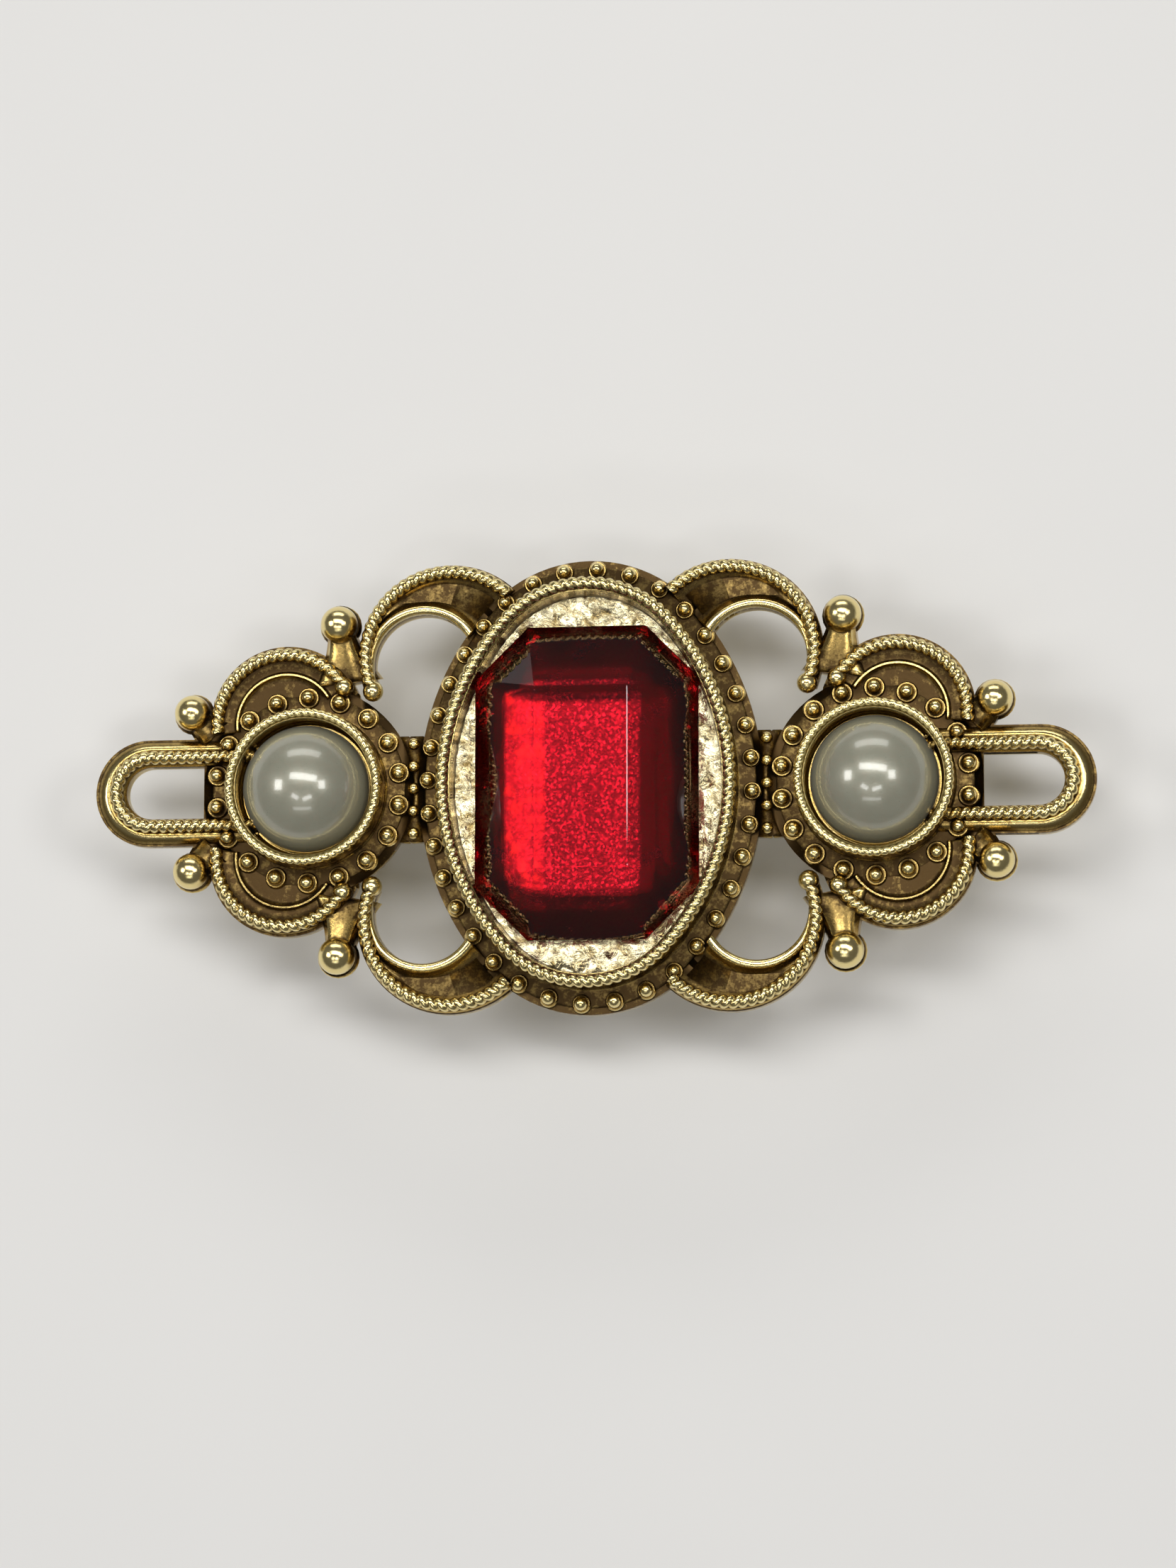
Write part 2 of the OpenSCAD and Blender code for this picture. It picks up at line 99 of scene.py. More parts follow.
# Cup parts
oval_rim_w = 1.1
oval_bead_r = 0.55
oval_bead_out = 1.05
oval_beads = 36
pearl_rim_w = 0.85
pearl_bead_r = 0.625
pearl_bead_ring = pearl_reach - 0.895
pearl_beads = 18
pearl_rim_r = pearl_bead_ring - 1.8 * pearl_bead_r

# Scrolls, loops and balls of one quarter
rope_w = 1.12
rope_pitch = 0.72
rope_step = 0.1
rope_inset = 0.13
loop_rope_in = 0.12
big_scroll = Vector((pearl_x - 11.45, 10.6, 0))
big_scroll_r = 7.45
big_hole = Vector((pearl_x - 9.35, 10, 0))
big_hole_r = 4.05
big_from = -24
big_to = 134
small_scroll = Vector((pearl_x + 1.8, pearl_reach - 2.95, 0))
small_scroll_r = 6.2
small_from = -8
small_to = 149
loop_r = 4.3
loop_x = loop_tip - loop_r
loop_hole_r = 2.1
loop_hole_x = loop_tip - 2.5 - loop_hole_r
inner_ball = Vector((pearl_x - 2.45, small_scroll.y + small_scroll_r + 1.75, 0))
inner_foot = Vector((pearl_x - 3.1, small_scroll.y + 3.3, 0))
inner_ball_r = 1.5
outer_ball = Vector((small_scroll.x + small_scroll_r + 1.45, loop_r + 2.1, 0))
outer_foot = Vector((pearl_x + 7.6, loop_r + 0.3, 0))
outer_ball_r = 1.45


# ---------------------------------------------------------------- shader expressions

class Value:
    """A shader socket that Python's operators work on: they add Math nodes."""

    def __init__(self, graph, socket):
        self.graph = graph
        self.socket = socket

    def math(self, operation, *others):
        return self.graph.add("ShaderNodeMath", {"operation": operation}, {
            0: self, **{k + 1: other for k, other in enumerate(others)}})

    def __add__(self, other):
        return self.math("ADD", other)

    def __radd__(self, other):
        return self.math("ADD", other)

    def __sub__(self, other):
        return self.math("SUBTRACT", other)

    def __rsub__(self, other):
        return self.graph.add("ShaderNodeMath", {"operation": "SUBTRACT"}, {0: other, 1: self})

    def __mul__(self, other):
        return self.math("MULTIPLY", other)

    def __rmul__(self, other):
        return self.math("MULTIPLY", other)

    def clamp(self):
        return self.graph.add("ShaderNodeClamp", {}, {"Value": self})


class Graph:
    """A material's nodes. add() takes a node's type, its settings and its sockets' values or links."""

    def __init__(self, name):
        self.material = bpy.data.materials.new(name)
        self.material.use_nodes = True
        self.nodes = self.material.node_tree.nodes
        self.links = self.material.node_tree.links
        self.nodes.clear()

    def add(self, kind, settings, inputs, output=0):
        node = self.nodes.new(kind)
        for key, value in settings.items():
            setattr(node, key, value)
        for key, value in inputs.items():
            if isinstance(value, Value):
                self.links.new(value.socket, node.inputs[key])
            else:
                node.inputs[key].default_value = value
        return Value(self, node.outputs[output]) if node.outputs else None

    def place(self):
        """Object coordinates in millimetres."""
        at = self.add("ShaderNodeTexCoord", {}, {}, "Object")
        return self.add("ShaderNodeVectorMath", {"operation": "SCALE"}, {0: at, "Scale": 1 / MM})

    def stretched(self, vector, scale):
        return self.add("ShaderNodeVectorMath", {"operation": "MULTIPLY"}, {0: vector, 1: scale})

    def noise(self, vector, scale, detail=3, roughness=0.5, distortion=0):
        return self.add("ShaderNodeTexNoise", {}, {
            "Vector": vector, "Scale": scale, "Detail": detail,
            "Roughness": roughness, "Distortion": distortion})

    def cells(self, vector, scale, feature="F1", output="Distance"):
        return self.add("ShaderNodeTexVoronoi", {"feature": feature},
            {"Vector": vector, "Scale": scale}, output)

    def fit(self, value, from_low, from_high, to_low=0, to_high=1):
        return self.add("ShaderNodeMapRange", {"clamp": True}, {
            0: value, 1: from_low, 2: from_high, 3: to_low, 4: to_high})

    def blend(self, share, first, second):
        """Two colours mixed, the second at that share."""
        return self.add("ShaderNodeMix", {"data_type": "RGBA"}, {0: share, 6: first, 7: second}, 2)

    def attribute(self, name):
        return self.add("ShaderNodeAttribute", {"attribute_name": name}, {}, "Fac")

    def bump(self, height, strength, depth, normal=None):
        inputs = {"Height": height, "Strength": strength, "Distance": depth * MM}
        if normal is not None:
            inputs["Normal"] = normal
        return self.add("ShaderNodeBump", {}, inputs)

    def surface(self, inputs):
        shader = self.add("ShaderNodeBsdfPrincipled", {}, inputs)
        self.add("ShaderNodeOutputMaterial", {}, {"Surface": shader})
        return self.material


def rgb(red, green, blue):
    return (red, green, blue, 1)


# ---------------------------------------------------------------- materials

def antique_gold():
    """Cast and plated gold, with dark antiquing and painted shade in the hollows, and polish and a painted
    highlight on the high, open parts.
    """
    g = Graph("antique_gold")
    at = g.place()
    hollow = g.attribute("recess")
    cloud = g.noise(at, 0.35, 4)
    speck = g.noise(at, 5.5, 5, 0.65)
    grain = g.noise(at, 16, 3, 0.6)
    pits = g.cells(at, 3.2)
    blotch = g.noise(at, 1.6, 4, 0.6)
    # Dark antiquing and painted shade: darker where 'recess' is high, broken up by noise.
    patina_and_shade = g.fit(hollow + (speck - 0.5) * 0.35 + (blotch - 0.5) * 0.45, 0.30, 0.68)
    plate = g.blend(cloud, rgb(0.56, 0.395, 0.13), rgb(0.40, 0.265, 0.08))
    # Polish and painted highlight: paler gold where the sky above is open.
    polish_and_highlight = g.fit(hollow + (speck - 0.5) * 0.12, 0.26, 0.02)
    plate = g.blend(polish_and_highlight * 0.85, plate, rgb(0.94, 0.79, 0.38))
    worn = g.blend(g.fit(speck, 0.66, 0.8) * 0.25, plate, rgb(0.50, 0.38, 0.22))
    colour = g.blend(patina_and_shade, worn, rgb(0.060, 0.036, 0.014))
    rough = (0.15 + patina_and_shade * 0.26 + (grain - 0.5) * 0.12 + g.fit(speck, 0.5, 0.85) * 0.12).clamp()
    fine = g.bump(grain, 0.3, 0.02)
    normal = g.bump(g.fit(pits, 0, 0.5), 0.2, 0.015, g.bump(speck, 0.25, 0.02, fine))
    return g.surface({"Base Color": colour, "Metallic": 1, "Roughness": rough, "Normal": normal})


def hammered_gilt():
    """The bright crumpled floor of the stone's cup, with painted highlights and shade along its crumples,
    and patina and painted shade in its hollows.
    """
    g = Graph("hammered_gilt")
    at = g.place()
    hollow = g.attribute("recess")
    folds = g.noise(at, 0.9, 5, 0.6, 0.6)
    facets = g.cells(at, 1.5)
    grain = g.noise(at, 14, 3, 0.6)
    # Patina and painted shade: darker where 'recess' is high and along the folds.
    patina_and_shade = g.fit(hollow + (folds - 0.5) * 1.2, 0.42, 0.85)
    # Painted highlight and shade: dark olive to pale gold with the folds that also shape the bump.
    painted_crumple_light = g.blend(g.fit(folds, 0.35, 0.65), rgb(0.24, 0.17, 0.065), rgb(0.86, 0.77, 0.50))
    colour = g.blend(patina_and_shade, painted_crumple_light, rgb(0.16, 0.09, 0.03))
    rough = (0.17 + (grain - 0.5) * 0.12 + patina_and_shade * 0.3 + g.fit(folds, 0.5, 0.7) * 0.08).clamp()
    normal = g.bump(facets, 0.45, 0.12, g.bump(folds, 0.8, 0.25, g.bump(grain, 0.3, 0.02)))
    return g.surface({"Base Color": colour, "Metallic": 1, "Roughness": rough, "Normal": normal})


def clasp_steel():
    """Nickel-plated spring steel, brushed along its length, with scuffs, dull edges and painted shade in
    its hollows.
    """
    g = Graph("clasp_steel")
    at = g.place()
    hollow = g.attribute("recess")
    brushed = g.noise(g.stretched(at, (0.5, 9, 9)), 1.6, 4, 0.6)
    cloud = g.noise(at, 0.28, 4)
    scuffs = g.cells(g.stretched(at, (1, 0.35, 1)), 1.1, "DISTANCE_TO_EDGE")
    speck = g.noise(at, 7, 4, 0.7)
    marks = g.fit(scuffs, 0.035, 0.0) * g.fit(cloud, 0.45, 0.65)
    # Painted shade: the steel darkens towards brown where mark_hollows found the sky above blocked, broken
    # up by noise.
    painted_hollow_shade = g.fit(hollow + (speck - 0.5) * 0.3, 0.55, 1.0)
    base = g.blend(cloud, rgb(0.74, 0.73, 0.70), rgb(0.6068, 0.584, 0.532))
    base = g.blend(painted_hollow_shade * 0.7, base, rgb(0.16, 0.13, 0.10))
    colour = g.blend(marks * 0.5, base, rgb(0.93, 0.92, 0.90))
    rough = (0.23 + (brushed - 0.5) * 0.22 + marks * 0.15 + painted_hollow_shade * 0.25
        + g.fit(cloud, 0.4, 0.7) * 0.08).clamp()
    normal = g.bump(brushed, 0.22, 0.02, g.bump(speck, 0.2, 0.015))
    return g.surface({"Base Color": colour, "Metallic": 1, "Roughness": rough, "Normal": normal})


def red_glass():
    """Clear deep red cut glass, with a few rubbed edges and the faint haze of handling."""
    g = Graph("red_glass")
    at = g.place()
    haze = g.noise(at, 0.8, 4, 0.6)
    rubs = g.noise(g.stretched(at, (1, 4, 1)), 2.2, 5, 0.7)
    rough = (g.fit(haze, 0.55, 0.8) * 0.035 + g.fit(rubs, 0.62, 0.75) * 0.06 + 0.008).clamp()
    tint = g.blend(haze, rgb(0.74, 0.012, 0.034), rgb(0.66, 0.008, 0.022))
    normal = g.bump(rubs, 0.04, 0.01)
    return g.surface({"Base Color": tint, "Metallic": 0, "Roughness": rough, "Normal": normal,
        "IOR": 1.56, "Transmission Weight": 1})


def mirror_foil():
    """The crinkled mirror backing, with painted reflections: bright under the stone's table, dimmer under
    its lower step, warm glints under its left strip, and painted shade towards its edge.
    """
    g = Graph("mirror_foil")
    at = g.place()
    flakes = g.cells(at, 5.2, "F1", "Color")
    glint = g.noise(at, 7, 3, 0.7)
    folds = g.noise(at, 0.45, 3, 0.5)
    patch = g.noise(at, 0.55, 4, 0.6)
    grey = g.add("ShaderNodeRGBToBW", {}, {"Color": flakes})
    x = g.add("ShaderNodeSeparateXYZ", {}, {0: at}, "X")
    y = g.add("ShaderNodeSeparateXYZ", {}, {0: at}, "Y")
    # Painted reflection: bright foil under the table and, dimmer, under the lower step; the rest is dark as
    # painted shade.
    bright_x, bright_y = -1.15, -0.35
    across = g.fit((x - bright_x).math("ABSOLUTE"), 4.75, 4.4)
    painted_table_light = across * g.fit((y - bright_y).math("ABSOLUTE"), 7.5, 7.2)
    painted_step_light = across * g.fit(y, -9.7, -9.3) * g.fit(y, 7.0, 6.7) * 0.42
    # Painted glints: each crinkle flake lighter or darker.
    spark = g.fit(grey, 0.3, 0.95)
    silver = g.blend(spark * spark, rgb(0.23, 0.19, 0.18), rgb(0.86, 0.75, 0.71))
    # Painted orange glow and yellow glints under the stone's left strip.
    strip = g.fit(x, -3.1, -3.6)
    warm = g.fit(patch, 0.5, 0.62) * strip
    silver = g.blend(strip * 0.45, silver, rgb(0.85, 0.60, 0.45))
    silver = g.blend(warm, silver, rgb(0.98, 0.85, 0.36))
    colour = g.blend(painted_table_light.math("MAXIMUM", painted_step_light), rgb(0.095, 0.050, 0.044), silver)
    rough = (0.24 + (folds - 0.5) * 0.2 + (glint - 0.5) * 0.1).clamp()
    normal = g.bump(grey, 0.22, 0.04, g.bump(folds, 0.06, 0.15, g.bump(glint, 0.2, 0.03)))
    return g.surface({"Base Color": colour, "Metallic": 1, "Roughness": rough, "Normal": normal})


def clear_glue():
    """Yellowed clear glue."""
    g = Graph("clear_glue")
    at = g.place()
    cloud = g.noise(at, 0.9, 4)
    bubbles = g.cells(at, 2.6)
    colour = g.blend(cloud, rgb(0.78, 0.70, 0.50), rgb(0.66, 0.56, 0.36))
    rough = (0.22 + g.fit(bubbles, 0.0, 0.35) * 0.2).clamp()
    normal = g.bump(bubbles, 0.4, 0.06)
    return g.surface({"Base Color": colour, "Metallic": 0, "Roughness": rough, "Normal": normal,
        "IOR": 1.48})


def pearl_lacquer():
    """Several coats of pearl lacquer over a glass half ball: cloudy nacre under a clear, glossy skin, with
    painted shade darkening it towards its outline.
    """
    g = Graph("pearl_lacquer")
    at = g.place()
    nacre = g.noise(g.stretched(at, (1, 1, 1.4)), 0.55, 5, 0.55, 0.4)
    swirl = g.noise(at, 1.9, 4, 0.6, 0.8)
    grain = g.noise(at, 9, 3, 0.6)
    # Painted shade: darker towards the outline, where the surface turns away from the view.
    rim = g.add("ShaderNodeLayerWeight", {}, {"Blend": 0.42}, "Facing")
    warm = g.blend(nacre, rgb(0.25, 0.25, 0.185), rgb(0.34, 0.335, 0.26))
    flush = g.blend(g.fit(swirl, 0.42, 0.64) * 0.5, warm, rgb(0.31, 0.28, 0.21))
    colour = g.blend(g.fit(rim, 0.3, 0.9) * 0.75, flush, rgb(0.15, 0.16, 0.10))
    rough = (0.30 + (grain - 0.5) * 0.10 + (swirl - 0.5) * 0.08).clamp()
    normal = g.bump(grain, 0.12, 0.012, g.bump(swirl, 0.18, 0.05))
    return g.surface({"Base Color": colour, "Metallic": 0.25, "Roughness": rough, "Normal": normal,
        "Coat Weight": 1.0, "Coat Roughness": 0.1, "Coat IOR": 1.55, "Sheen Weight": 0.1,
        "Specular IOR Level": 0.6})


def pale_floor():
    g = Graph("pale_floor")
    at = g.place()
    cloud = g.noise(at, 0.02, 3)
    colour = g.blend(cloud, rgb(0.72, 0.71, 0.69), rgb(0.76, 0.75, 0.73))
    return g.surface({"Base Color": colour, "Roughness": 0.7})


# ---------------------------------------------------------------- mesh helpers

def polar(r, degrees, z=0):
    a = math.radians(degrees)
    return Vector((r * math.cos(a), r * math.sin(a), z))


def loft(rings, caps=False, wrap=False):
    """A skin through rings of points. caps close its two ends and wrap joins the last ring to the first."""
    bm = bmesh.new()
    ring = [bm.verts.new(p) for p in rings[0]]
    count = len(ring)
    edges = [bm.edges.new((ring[k], ring[(k + 1) % count])) for k in range(count)]
    if caps:
        bm.faces.new(ring)
    for points in rings[1:] + (rings[:1] if wrap else []):
        made = bmesh.ops.extrude_edge_only(bm, edges=edges)["geom"]
        new = {v for v in made if isinstance(v, bmesh.types.BMVert)}
        edges = [e for e in made if isinstance(e, bmesh.types.BMEdge)
            and e.verts[0] in new and e.verts[1] in new]
        ring = [next(e.other_vert(v) for e in v.link_edges if e.other_vert(v) in new) for v in ring]
        for v, p in zip(ring, points):
            v.co = p
    if caps:
        bm.faces.new(ring)
    if wrap:
        bmesh.ops.remove_doubles(bm, verts=bm.verts, dist=1e-4)
    bmesh.ops.recalc_face_normals(bm, faces=bm.faces)
    return bm


def add_to(target, source):
    """Adds one bmesh to another and frees it."""
    mesh = bpy.data.meshes.new("part")
    source.to_mesh(mesh)
    source.free()
    target.from_mesh(mesh)
    bpy.data.meshes.remove(mesh)
    return target


def joined(parts):
    whole = bmesh.new()
    for part in parts:
        add_to(whole, part)
    return whole


def quarters(bm):
    """Copies a quarter of the ornament into all four."""
    for axis in ("X", "Y"):
        half = bm.copy()
        bmesh.ops.mirror(half, geom=half.verts[:] + half.edges[:] + half.faces[:],
            matrix=Matrix.Identity(4), merge_dist=-1, axis=axis)
        bm.free()
        bm = half
    bmesh.ops.recalc_face_normals(bm, faces=bm.faces)
    return bm


def bead(place, r, across=16, up=10):
    bm = bmesh.new()
    bmesh.ops.create_uvsphere(bm, u_segments=across, v_segments=up, radius=r)
    bmesh.ops.translate(bm, vec=place, verts=bm.verts)
    return bm


def spun(profile, place=(0, 0, 0), steps=96):
    """A turned part: its profile of (radius, height) points spun all the way round."""
    bm = bmesh.new()
    verts = [bm.verts.new((r, 0, z)) for r, z in profile]
    edges = [bm.edges.new(pair) for pair in zip(verts, verts[1:])]
    bmesh.ops.spin(bm, geom=verts + edges, cent=(0, 0, 0), axis=(0, 0, 1),
        angle=TAU, steps=steps, use_merge=True)
    bmesh.ops.remove_doubles(bm, verts=bm.verts, dist=1e-4)
    bmesh.ops.recalc_face_normals(bm, faces=bm.faces)
    bmesh.ops.translate(bm, vec=place, verts=bm.verts)
    return bm


def collar(place, r, wire):
    """A small ring round a bead or a ball's neck, lying flat."""
    sides = 6
    profile = [(r + wire * math.cos(TAU * k / sides), wire * math.sin(TAU * k / sides))
        for k in range(sides + 1)]
    return spun(profile, place, 20)


# ---------------------------------------------------------------- paths

def arc(centre, r, start, end, step):
    """Points along an arc with the direction that points away from its centre."""
    count = max(2, math.ceil(abs(math.radians(end - start)) * r / step))
    angles = [start + (end - start) * k / count for k in range(count + 1)]
    return [(Vector(centre) + polar(r, a), polar(1, a)) for a in angles]


def straight(start, end, side, step):
    run = Vector(end) - Vector(start)
    count = max(1, math.ceil(run.length / step))
    return [(Vector(start) + run * k / count, Vector(side)) for k in range(count + 1)]


def chained(*stretches):
    path = list(stretches[0])
    for stretch in stretches[1:]:
        path += stretch[1:]
    return path


def oval_path(out, step):
    """Once round the oval, out millimetres outside its rim."""
    path = chained(
        arc((-side_x, 0, 0), oval_side_r + out, -join_angle, join_angle, step),
        arc((0, end_y, 0), oval_end_r + out, join_angle, 180 - join_angle, step),
        arc((side_x, 0, 0), oval_side_r + out, 180 - join_angle, 180 + join_angle, step),
        arc((0, -end_y, 0), oval_end_r + out, 180 + join_angle, 360 - join_angle, step))
    return path[:-1]


def rope(path, z, r, pitch, wrap=False, slant=1.0, depth=0.42, across=11):
    """A rope edge along a level path: a half-round ridge with slanted grooves, its round centred at z."""
    lengths = [0.0]
    for (p, _), (q, _) in zip(path, path[1:] + path[:1]):
        lengths.append(lengths[-1] + (q - p).length)
    total = lengths[-1] if wrap else lengths[-2]
    grooves = max(1, round(total / pitch))
    rings = []
    for (p, side), s in zip(path, lengths):
        foot = Vector((0, 0, z - r))
        ring = [p + side * r * 0.8 + foot, p - side * r * 0.8 + foot]
        for k in range(across):
            a = math.pi * (1 - k / (across - 1))
            wave = abs(math.sin(math.pi * (grooves * s / total - slant * k / (across - 1))))
            swell = r * (1 - depth * (1 - wave) ** 1.5)
            ring.append(p + side * (swell * math.cos(a)) + Vector((0, 0, z + swell * math.sin(a))))
        rings.append(ring)
    return loft(rings, caps=not wrap, wrap=wrap)


def swept(path, section, wrap=False):
    """A solid strip along a path. section(k) gives (distance out, height) points at its kth point."""
    rings = []
    for k, (p, side) in enumerate(path):
        rings.append([p + side * out + Vector((0, 0, z)) for out, z in section(k)])
    return loft(rings, caps=not wrap, wrap=wrap)


def bump_round(from_out, to_out, base, rise, steps=5):
    """Points over a round ridge between two distances."""
    half = (to_out - from_out) / 2
    middle_out = (to_out + from_out) / 2
    angles = [math.pi * (1 - k / steps) for k in range(steps + 1)]
    return [(middle_out + half * math.cos(a), base + rise * math.sin(a)) for a in angles]


# ---------------------------------------------------------------- finishing a piece

made = []


def finish_piece(bm, name, body, material, replaces=(), sharp=40, smooth=True):
    """Makes a piece from a bmesh in millimetres, at its own place, and puts it on its body."""
    bmesh.ops.scale(bm, vec=(MM, MM, MM), verts=bm.verts)
    mesh = bpy.data.meshes.new(name)
    bm.to_mesh(mesh)
    bm.free()
    if smooth:
        mesh.shade_smooth()
        mesh.set_sharp_from_angle(angle=math.radians(sharp))
    mesh.materials.append(material)
    piece = bpy.data.objects.new(name, mesh)
    bpy.context.scene.collection.objects.link(piece)
    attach(piece, body)
    if replaces:
        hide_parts(*replaces)
    made.append(piece)
    return piece


def cad_copy(node):
    """A merged copy of a CAD node's mesh, in millimetres."""
    bm = bmesh.new()
    bm.from_mesh(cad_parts[node].data)
    bmesh.ops.scale(bm, vec=(1 / MM,) * 3, verts=bm.verts)
    bmesh.ops.remove_doubles(bm, verts=bm.verts, dist=1e-4)
    return bm


def softened(node, width, segments=2, corner=32):
    """A copy of a CAD node with its edges rounded."""
    bm = cad_copy(node)
    bmesh.ops.dissolve_limit(bm, angle_limit=math.radians(1), verts=bm.verts, edges=bm.edges)
    edges = [e for e in bm.edges if len(e.link_faces) == 2
        and e.calc_face_angle(0) > math.radians(corner)]
    bmesh.ops.bevel(bm, geom=edges, offset=width, offset_type="OFFSET", affect="EDGES",
        segments=segments, profile=0.5, material=-1, clamp_overlap=True)
    return bm


def mark_hollows(pieces, reach, wash_and_shade=None):
    """Writes on every vertex how much of the sky above it is blocked within reach, as 'recess'.
    wash_and_shade gives two heights: level surfaces hold the dark antiquing wash and painted shade from the
    second one down to the first."""
    clear_of_skin = 0.02
    grazing = 0.2
    wash_and_shade_share = 0.84
    points, faces = [], []
    for piece in pieces:
        start = len(points)
        points += [v.co / MM for v in piece.data.vertices]
        faces += [[start + k for k in f.vertices] for f in piece.data.polygons]
    tree = BVHTree.FromPolygons(points, faces)
    turn = math.pi * (3 - math.sqrt(5))
    rays = 22
    directions = []
    for k in range(rays):
        z = 1 - (2 * k + 1) / rays
        ring = math.sqrt(1 - z * z)
        directions.append(Vector((ring * math.cos(turn * k), ring * math.sin(turn * k), z)))
    for piece in pieces:
        values = []
        for v in piece.data.vertices:
            normal = v.normal
            start = v.co / MM + normal * clear_of_skin
            open_sky = 0.0
            blocked = 0.0
            for d in directions:
                facing = d.dot(normal)
                if facing < grazing:
                    continue
                open_sky += facing
                distance = tree.ray_cast(start, d, reach)[3]
                if distance is not None:
                    blocked += facing * (1 - 0.5 * distance / reach)
            value = blocked / open_sky if open_sky else 0.0
            if wash_and_shade:
                depth = (wash_and_shade[1] - v.co.z / MM) / (wash_and_shade[1] - wash_and_shade[0])
                level = max(normal.z, 0.0) ** 0.5
                value = max(value, wash_and_shade_share * min(max(depth, 0.0), 1.0) * level)
            values.append(value)
        attribute = piece.data.attributes.new("recess", "FLOAT", "POINT")
        attribute.data.foreach_set("value", values)


# ---------------------------------------------------------------- the openwork casting

def casting_slab():
    """The flat body of the openwork, under its relief."""
    bm = cad_copy("openwork_frame")
    cut = bmesh.ops.bisect_plane(bm, geom=bm.verts[:] + bm.edges[:] + bm.faces[:], dist=1e-5,
        plane_co=(0, 0, slab_top), plane_no=(0, 0, 1), clear_outer=True)["geom_cut"]
    edges = [e for e in cut if isinstance(e, bmesh.types.BMEdge)]
    bmesh.ops.triangle_fill(bm, edges=edges, use_beauty=True)
    bmesh.ops.recalc_face_normals(bm, faces=bm.faces)
    return bm


def big_scroll_inner(degrees):
    """Distance from a big scroll's centre to the edge of its round opening."""
    offset = big_hole - big_scroll
    along = offset.dot(polar(1, degrees))
    return along + math.sqrt(big_hole_r ** 2 - offset.length_squared + along ** 2)


def big_scroll_band():
    """A big scroll's band: a bright lip, a hollow trough, a seat for the rope and a sloped outer side."""
    steps = 72
    angles = [big_from + (big_to - big_from) * k / steps for k in range(steps + 1)]
    path = [(Vector(big_scroll), polar(1, a)) for a in angles]
    lip_top = casting_z + 2.05
    seat = casting_z + 1.75

    def section(k):
        inner = big_scroll_inner(angles[k])
        rope_in = big_scroll_r - 0.95
        lip_out = min(inner + 0.85, rope_in - 0.05)
        width = max(rope_in - lip_out, 0.02)
        dip = min(0.8, width * 0.42)
        trough = [(lip_out + width * t, seat - dip * math.sin(math.pi * t) ** 0.8)
            for t in (0.12, 0.3, 0.5, 0.7, 0.88)]
        lip = bump_round(inner, lip_out, lip_top - 0.3, 0.3)
        return ([(inner, band_base)] + lip + trough
            + [(rope_in, seat), (big_scroll_r - 0.3, seat),
               (big_scroll_r - rope_inset, seat - 0.18), (big_scroll_r - 0.03, seat - 0.6),
               (big_scroll_r, casting_z + 0.7), (big_scroll_r, band_base)])

    return swept(path, section)


def small_scroll_band():
    """A small scroll's rim: a sloped outer side, a seat for the rope and a stepped floor."""
    seat = casting_z + 1.6
    floor = slab_top + 0.02
    step_top = casting_z + 1.62
    r = small_scroll_r
    profile = [(2.2, band_base), (2.2, floor), (r - 2.75, floor + 0.03)]
    profile += bump_round(r - 2.42, r - 2.0, floor + 0.03, step_top - floor)
    profile += [(r - 1.85, floor + 0.03), (r - 1.3, floor + 0.05), (r - 1.02, seat),
        (r - 0.28, seat), (r - 0.1, seat - 0.2), (r, casting_z + 0.8), (r, band_base)]
    path = arc(small_scroll, 1, small_from, small_to, 0.04)
    path = [(Vector(small_scroll), side) for _, side in path]
    return swept(path, lambda k: profile)


def loop_path(step):
    """Round the middle line of an end loop's opening, from the cup and back to it."""
    start = pearl_x + 4
    return chained(
        straight((start, loop_hole_r, 0), (loop_hole_x, loop_hole_r, 0), (0, 1, 0), step),
        list(reversed(arc((loop_hole_x, 0, 0), loop_hole_r, -90, 90, step))),
        straight((loop_hole_x, -loop_hole_r, 0), (start, -loop_hole_r, 0), (0, -1, 0), step))


def loop_band():
    """An end loop's band: rope beside the opening and a rounded slope outside it."""
    path = loop_path(0.35)
    widths = []
    for p, side in path:
        if p.x <= loop_hole_x:
            widths.append(loop_r - loop_hole_r)
            continue
        offset = loop_x - loop_hole_x
        flat = loop_r / max(abs(side.y), 1e-6)
        ahead = offset * side.x + math.sqrt(loop_r ** 2 - (offset * side.y) ** 2)
        reach = flat if flat * side.x < offset else ahead
        widths.append(reach - loop_hole_r)

    def section(k):
        w = widths[k]
        rope_out = loop_rope_in + rope_w
        slope = [(rope_out + (w - rope_out) * t, casting_z + 1.0 + 0.85 * math.cos(math.pi / 2 * t) ** 0.8)
            for t in (0.1, 0.35, 0.6, 0.8, 0.93)]
        return ([(0, band_base), (0, casting_z + 1.15), (loop_rope_in, casting_z + 1.5),
            (rope_out - 0.1, casting_z + 1.75)] + slope + [(w, casting_z + 0.95), (w, band_base)])

    return swept(path, section)


def ball_stem(foot, ball, foot_w, neck_w):
    """A forked stem from the scrolls to a ball: two bright ridges that run together at the ball's neck."""
    run = ball - foot
    across = Vector((-run.y, run.x, 0)).normalized()
    steps = 14
    rings = []
    for k in range(steps + 1):
        t = k / steps
        half = (foot_w + (neck_w - foot_w) * math.sin(math.pi / 2 * t)) / 2
        valley = 0.5 * (1 - t) ** 0.6
        centre = foot + run * t
        ring = []
        for u, rise in ((-1, 0.35), (-0.92, 1.25), (-0.66, 1.85), (-0.33, 1.62 - 0.5 * valley),
                (0, 1.78 - valley), (0.33, 1.62 - 0.5 * valley), (0.66, 1.85), (0.92, 1.25), (1, 0.35)):
            ring.append(centre + across * (half * u) + Vector((0, 0, casting_z + rise)))
        rings.append(ring)
    return loft(rings, caps=True)


